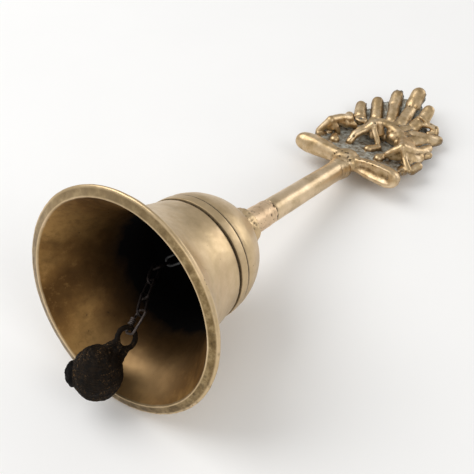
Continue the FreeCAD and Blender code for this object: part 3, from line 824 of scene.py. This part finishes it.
def middle_figure():
    head, hip, tail = (159.3, 2.3, 10.0), (164.5, 2.4, 9.2), (166.0, 0.7, 9.2)
    elbow, cloth = (157.6, 4.0, 7.8), (159.6, 2.8, 6.2)
    parts = chain_of([head, elbow, (153.9, 6.8, 5.6), (150.6, 7.1, 3.0)], [2.1, 1.8, 1.9, 1.6])
    parts += chain_of([head, (157.5, -0.5, 7.4), (156.2, -3.1, 4.6)], [1.6, 1.3, 1.25])
    parts.append(capsule((151.4, -1.8, 2.6), (155.0, -4.4, 3.0), 2.2, 1.6))
    parts += web([head, elbow], [head, cloth], 1.3)
    parts += chain_of([head, hip, tail], [2.0, 2.1, 2.3])
    parts += web([head, hip], [cloth, (160.0, 8.4, 4.6)], 1.6)
    return parts + web([head, tail], [(157.6, 0.6, 6.0), (162.0, -1.0, 5.6)], 1.4)


# the folds of the hood behind the figures; the near one's shawl runs up to its last point
HOOD_CREST = [(164.5, 2.4, 9.2), (166.0, 0.7, 9.2), (166.5, -1.7, 8.8), (166.3, -4.7, 8.4),
              (164.8, -8.2, 8.0), (161.4, -11.5, 7.6)]


def near_figure():
    head, hip, tail = (151.3, -16.1, 9.6), (157.6, -18.3, 6.6), (163.1, -20.0, 5.2)
    elbow, hand, knee = (150.2, -13.8, 7.6), (149.4, -11.3, 5.2), (150.8, -18.1, 6.3)
    parts = chain_of([head, elbow, hand], [1.9, 1.7, 1.5])
    parts.append(capsule((147.4, -8.7, 2.6), (149.4, -9.7, 3.2), 2.1, 1.5))
    parts += chain_of([head, knee, (149.1, -20.5, 4.2), (148.1, -22.6, 2.6)], [1.7, 1.35, 1.3, 1.4])
    parts += chain_of([head, hip, tail, (169.7, -20.4, 4.6)], [1.8, 1.8, 2.0, 2.0])
    parts += web([head, hip, tail], [knee, (155.0, -20.6, 3.4), (159.0, -21.6, 3.0)], 1.2)
    parts += web([head, elbow, hand], [knee, (151.0, -15.6, 4.6), (150.4, -12.6, 4.0)], 1.2)
    return parts + web([head, hip], [HOOD_CREST[-1], (166.0, -13.0, 6.0)], 1.9)


def hood():
    # a broad cape in pleats that bulge towards the middle figure
    first, second, third = (166.6, -1.5, 7.0), (163.2, -6.1, 6.2), (160.1, -10.1, 6.2)
    parts = chain_of(HOOD_CREST, [1.7, 1.9, 2.1, 2.2, 2.3, 2.2])
    parts += web(HOOD_CREST[1:], [first, first, second, third, third], 1.7)
    return parts + [ball(first, 2.0, 2.2, 2.4), ball(second, 2.1, 2.5, 2.5), ball(third, 1.9, 2.0, 2.2),
                    ball((164.1, -2.4, 4.6), 1.8, 1.9, 2.0)]


def finial_parts():
    parts = bar_and_plate() + flames() + far_figure() + middle_figure() + near_figure()
    parts += chain_of([(147.6, 12.7, 2.6), (150.4, 14.2, 2.8)], [2.2, 1.6])
    parts += hood()
    # a small ring boss, and knobs on the near edge
    return parts + [wire_ring((169.3, 12.8, 5.3), 1.9, 0.95), ball((169.3, 12.8, 3.8), 2.2, 2.2, 1.4),
                    capsule((150.1, -23.3, 2.2), (154.2, -23.9, 3.0), 1.9, 1.9),
                    capsule((162.7, -20.7, 3.2), (165.4, -22.9, 3.8), 1.7, 1.6)]


def casting_pits(points, seed, groups):
    # gas holes on the upper side; each group is (number, x range, y range, size range)
    draw = np.random.default_rng(seed)
    depth, dark = np.zeros(len(points)), np.zeros(len(points))
    for number, x_range, y_range, sizes in groups:
        inside = (points[:, 0] > x_range[0]) & (points[:, 0] < x_range[1])
        inside &= (points[:, 1] > y_range[0]) & (points[:, 1] < y_range[1]) & (points[:, 2] > 1.5)
        choices = np.flatnonzero(inside)
        for _ in range(number):
            centre = points[choices[draw.integers(len(choices))]]
            size = draw.uniform(*sizes)
            gap = np.sum((points - centre) ** 2, axis=1) / size ** 2
            depth = np.maximum(depth, 0.7 * size * np.exp(-gap))
            dark = np.maximum(dark, np.exp(-gap ** 2))
    return depth, dark


def finial():
    points, faces, edges = remeshed(finial_parts(), FINIAL_VOXEL, 5)
    bump = noise_at(points, 0.22, 4.0, 2) * 0.16 + noise_at(points, 0.9, 6.0, 2) * 0.022
    points = points + vertex_normals(points, faces) * bump[:, None]
    # room for the shank, its tenon and the bead
    axis_distance = np.hypot(points[:, 1], points[:, 2])
    seated = (points[:, 0] < SEAT_X) & (axis_distance < SEAT_RADIUS)
    points[seated, 0] = SEAT_X
    crease = hollows(points, faces, edges, 9, 0.13)
    cavity = np.maximum(hollows(points, faces, edges, 26, 0.35), crease * 0.92)
    x, y, z = points.T
    height = np.array([sheet_height(value) for value in x])
    slope = np.array([sheet_slope(value) for value in x])
    sheet_top = height + PLATE_HALF_THICKNESS * np.sqrt(1 + slope ** 2) + 0.3
    on_floor = np.clip((sheet_top - z) / 0.5, 0, 1) * np.clip((z - height) / 0.8, 0, 1)
    on_floor = on_floor * ((x > 140.5) & (np.abs(y) < 19.2))
    notch = on_floor * np.clip((x - 172) / 4, 0, 1)
    # painted shade climbs the feet of the figures, and higher up the sides of the flames, as brown through
    # the cavity mask
    climb = 1.1 + 1.1 * np.clip((x - 171) / 4, 0, 1)
    foot_shade = np.clip((sheet_top + climb - z) / climb, 0, 1) * np.clip((z - height) / 0.8, 0, 1)
    foot_shade = foot_shade * np.clip((x - 139.5) / 1.5, 0, 1)
    cavity = np.maximum(cavity, 0.52 * foot_shade ** 0.7)
    pit_depth, pit_dark = casting_pits(points, 31, [
        (26, (131.8, 136.6), (-5.5, 5.5), (0.22, 0.55)), (12, (133.0, 140.0), (-16.0, -5.0), (0.18, 0.36)),
        (34, (150.0, 184.0), (-18.0, 14.0), (0.20, 0.48))])
    crust = (noise_at(points, 0.7, 21.0, 4) - 0.1) * on_floor * (0.30 + 0.45 * (notch > 0.1))
    points = points + vertex_normals(points, faces) * (crust - pit_depth)[:, None]
    make_object("finial_cast", points, faces, FINIAL, "bell", "finial",
                {"cavity": cavity, "notch": notch * 0.9, "floor": on_floor * 0.9, "grime_and_shade": pit_dark})


# ---- chain and clapper
STAPLE_WIRE = 0.64
LINK_WIRE = 0.50
LAST_LINK_WIRE = 0.44
STAPLE_BOW = 1.9
LINK_BOW = 1.55
LAST_LINK_BOW = 1.9
LINKS = 8
TIE_WIRE = 0.33
EYE_RADIUS = 3.4
EYE_WIRE = 0.86
EYE_DROP = 1.625


def hinge_frame(index):
    # the place and the axis of a joint, counted from the staple, in the bell's frame
    return to_bell(joints[index]["pos_m"]), unit(to_bell_direction(joints[index]["axis"]))


def staple():
    hook, across = hinge_frame(0)
    centre = hook + vec(STAPLE_BOW, 0, 0)
    bow = [centre + STAPLE_BOW * (across * math.cos(t) - vec(1, 0, 0) * math.sin(t))
           for t in np.linspace(0, math.pi, 17)]
    legs = [[centre + side * across * STAPLE_BOW + vec(k, 0, 0) for k in np.linspace(11.6, 0.6, 14)]
            for side in (1, -1)]
    points, faces = tube(legs[0] + bow + legs[1][::-1], STAPLE_WIRE)
    make_object("staple_wire", points, faces, WIRE, "bell", "hanger_staple")


def link(index):
    last = index == LINKS
    bow = LAST_LINK_BOW if last else LINK_BOW
    start = hinge_frame(index - 1)[0]
    end, across = hinge_frame(index)
    along = unit(end - start)
    low = end - along * bow
    # hand-bent ovals; the lowest is squarer at its corners
    power = 0.42 if last else 0.80
    turns = [(math.cos(t), math.sin(t)) for t in np.linspace(0, math.pi, 15)]
    bends = [across * np.sign(c) * abs(c) ** power + along * s ** power for c, s in turns]
    shares = np.linspace(0, 1, 14)[1:-1]
    path = [low + bow * bend for bend in bends]
    path += [low - across * bow + (start - low) * k for k in shares]
    path += [start - bow * bend for bend in bends]
    path += [start + across * bow + (low - start) * k for k in shares]
    path = np.array(path)
    # the long sides swell a little at their middle
    from_middle = path - (start + low) / 2
    swell = np.exp(-((from_middle @ along) / 1.9) ** 2) * np.sign(from_middle @ across) * 0.10
    path = path + np.outer(swell, across)
    radii = (LAST_LINK_WIRE if last else LINK_WIRE) * (1 + 0.07 * noise_at(path, 0.8, index, 2))
    points, faces = tube(path, radii, closed=True, start_normal=np.cross(along, across))
    material = {3: BRIGHT_WIRE, LINKS: WORN_WIRE}.get(index, WIRE)
    make_object("wire_link_%d" % index, points, faces, material, "link_%d" % index,
                "chain_link_%d" % index)


def tie():
    # nearly four turns round a leg of the lowest link, with both ends left sticking out
    start = hinge_frame(LINKS - 1)[0]
    end, across = hinge_frame(LINKS)
    along = unit(end - start)
    normal = np.cross(along, across)
    leg = end - along * 4.9 + across * LAST_LINK_BOW
    path = []
    for t in np.linspace(-0.4, 3.35, 84):
        turn = 2 * math.pi * t
        swell = 0.82 + 0.10 * math.sin(turn * 0.37 + 1)
        path.append(leg + along * (0.62 * t) + swell * (across * math.cos(turn) + normal * math.sin(turn)))
    first, last = path[0], path[-1]
    for k in np.linspace(0.1, 1, 14):
        path.append(last + across * (1.5 * k) - normal * (1.6 * k * k) + along * (2.6 * k))
    coil = tube(path, TIE_WIRE, sides=12)
    tail = [first + across * (0.9 * k) - along * (1.9 * k) + normal * (0.9 * k * k)
            for k in np.linspace(0, 1, 12)]
    points, faces = join([coil, tube(tail, TIE_WIRE - 0.03, sides=12)])
    make_object("tie_lashing", points, faces, WORN_WIRE, "link_8", "tie_wire")


# directions and place of the camera in the bell's frame; the ball's lobes lie along the directions
VIEW_RIGHT = vec(0.59134, -0.79505, 0.13496)
VIEW_UP = vec(0.36871, 0.41540, 0.83157)
VIEW_FORWARD = vec(0.71720, 0.44197, -0.53878)
CAMERA_PLACE = vec(-165.01, -139.89, 167.76)
LENS_MM = 68.35
BALL_CENTRE = vec(-4.76, 2.0, -25.23)
CLAPPER_VOXEL = 0.26


def clapper():
    hinge, across = hinge_frame(LINKS)
    reach = BALL_CENTRE - hinge
    in_plane = unit(reach - across * reach.dot(across))
    eye = hinge + in_plane * EYE_DROP
    out_of = np.cross(across, in_plane)
    loop = [eye + EYE_RADIUS * (in_plane * math.cos(t) + out_of * math.sin(t))
            for t in np.linspace(0, 2 * math.pi, 48, endpoint=False)]
    parts = [tube(loop, EYE_WIRE, closed=True, sides=16)]
    # the ends of the bar spread into two straps that run into the ball
    for side in (-1, 1):
        at_eye = eye + EYE_RADIUS * unit(in_plane * 0.75 + out_of * side * 0.66)
        at_ball = BALL_CENTRE - unit(reach) * 6.4 + out_of * side * 3.2
        parts.append(capsule(at_eye, at_ball, 1.0, 2.0, 0.9, up=across))
    parts.append(capsule(eye + in_plane * 3.9, BALL_CENTRE - unit(reach) * 5.0, 1.3, 4.4, 0.8, up=across))
    # a body forged a little narrow, with a second small lobe swelling out of one side
    parts.append(ellipsoid(BALL_CENTRE + 0.45 * VIEW_RIGHT,
                           [8.15 * VIEW_RIGHT, 8.9 * VIEW_UP, 8.7 * VIEW_FORWARD], 48, 64))
    parts.append(ellipsoid(BALL_CENTRE - 4.9 * VIEW_RIGHT - 0.8 * VIEW_FORWARD - 0.2 * VIEW_UP,
                           [4.8 * VIEW_RIGHT, 5.0 * VIEW_UP, 4.8 * VIEW_FORWARD], 32, 40))
    points, faces, _ = remeshed(parts, CLAPPER_VOXEL, 2)
    outward = points - BALL_CENTRE
    distance = np.linalg.norm(outward, axis=1)
    on_ball = np.clip((distance - 7.5) / 1.0, 0, 1) * (distance < 10.4)
    # a crease parts the lobes, and rust and forging leave the skin wrinkled
    sideways = -(outward @ VIEW_RIGHT)
    crease = np.exp(-((sideways - 6.9) / 0.5) ** 2)
    wrinkles = noise_at(points * vec(0.3, 0.3, 2.6), 0.8, 5.0, 3)
    rough = noise_at(points, 0.45, 3.0, 4) * 0.24 + wrinkles * 0.20 + noise_at(points, 1.5, 7.0, 3) * 0.12
    move = (rough - 0.45 * crease - 0.08) * on_ball + rough * 0.4 * (1 - on_ball)
    points = points + vertex_normals(points, faces) * np.clip(move, -1.2, 0.16)[:, None]
    # the lobe mask marks where the material paints the small side lobe near black, as painted shade
    lobe = np.clip((sideways - 6.6) / 0.5, 0, 1) * on_ball
    make_object("clapper_forged", points, faces, CLAPPER, "clapper", "clapper",
                {"lobe": lobe})


# ---- floor, light and camera
FLOOR_HALF_SIZE = 6.0
AIM = Vector((0.0, 0.0, 0.03))


def lay_floor():
    s = Surface("floor_paper")
    colour = s.mix(s.noise(0.02, 3.0), (0.90, 0.90, 0.895), (0.93, 0.93, 0.925))
    material = s.finish(colour, 0.9, s.bump(s.noise(1.2, 2.0), 0.05, 0.05), 0.0)
    mesh = bpy.data.meshes.new("floor")
    far = FLOOR_HALF_SIZE
    mesh.from_pydata([(-far, -far, 0), (far, -far, 0), (far, far, 0), (-far, far, 0)], [], [(0, 1, 2, 3)])
    mesh.materials.append(material)
    floor = new_object("floor", mesh)


def soft_box(name, direction, distance, size, power):
    light = bpy.data.lights.new(name, "AREA")
    light.shape = "DISK"
    light.size = size
    light.energy = power
    lamp = new_object(name, light)
    away = Vector(direction).normalized()
    lamp.location = AIM + away * distance
    lamp.rotation_euler = (-away).to_track_quat("-Z", "Y").to_euler()


def light_scene():
    world = bpy.data.worlds.new("studio")
    world.use_nodes = True
    background = world.node_tree.nodes["Background"]
    background.inputs["Color"].default_value = (1.0, 0.99, 0.975, 1.0)
    background.inputs["Strength"].default_value = 0.54
    bpy.context.scene.world = world
    bpy.context.scene.view_settings.view_transform = "Standard"
    soft_box("key", (-0.27, 0.70, 0.86), 1.1, 1.0, 6.8)
    soft_box("back_right", (0.93, -0.37, 0.17), 1.0, 0.6, 1.6)
    soft_box("front_right", (-0.2, -0.9, 0.75), 1.1, 0.6, 2.0)
    soft_box("mouth_fill", (-0.95, -0.10, 0.30), 1.2, 0.5, 1.3)


def set_camera():
    camera = bpy.data.cameras.new("photo_view")
    camera.sensor_width = 36.0
    camera.lens = LENS_MM
    camera.clip_start = 0.01
    stand = new_object("photo_view", camera)
    right, up = (AXIS_X * view[0] + AXIS_Y * view[1] + AXIS_Z * view[2] for view in (VIEW_RIGHT, VIEW_UP))
    place = LAY @ (Vector(CAMERA_PLACE) * MM)
    turn = Matrix((right, up, right.cross(up))).transposed().to_4x4()
    stand.matrix_world = Matrix.Translation(place) @ turn
    bpy.context.scene.camera = stand


shell()
handle()
finial()
staple()
for link_index in range(1, LINKS + 1):
    link(link_index)
tie()
clapper()
lay_floor()
light_scene()
set_camera()
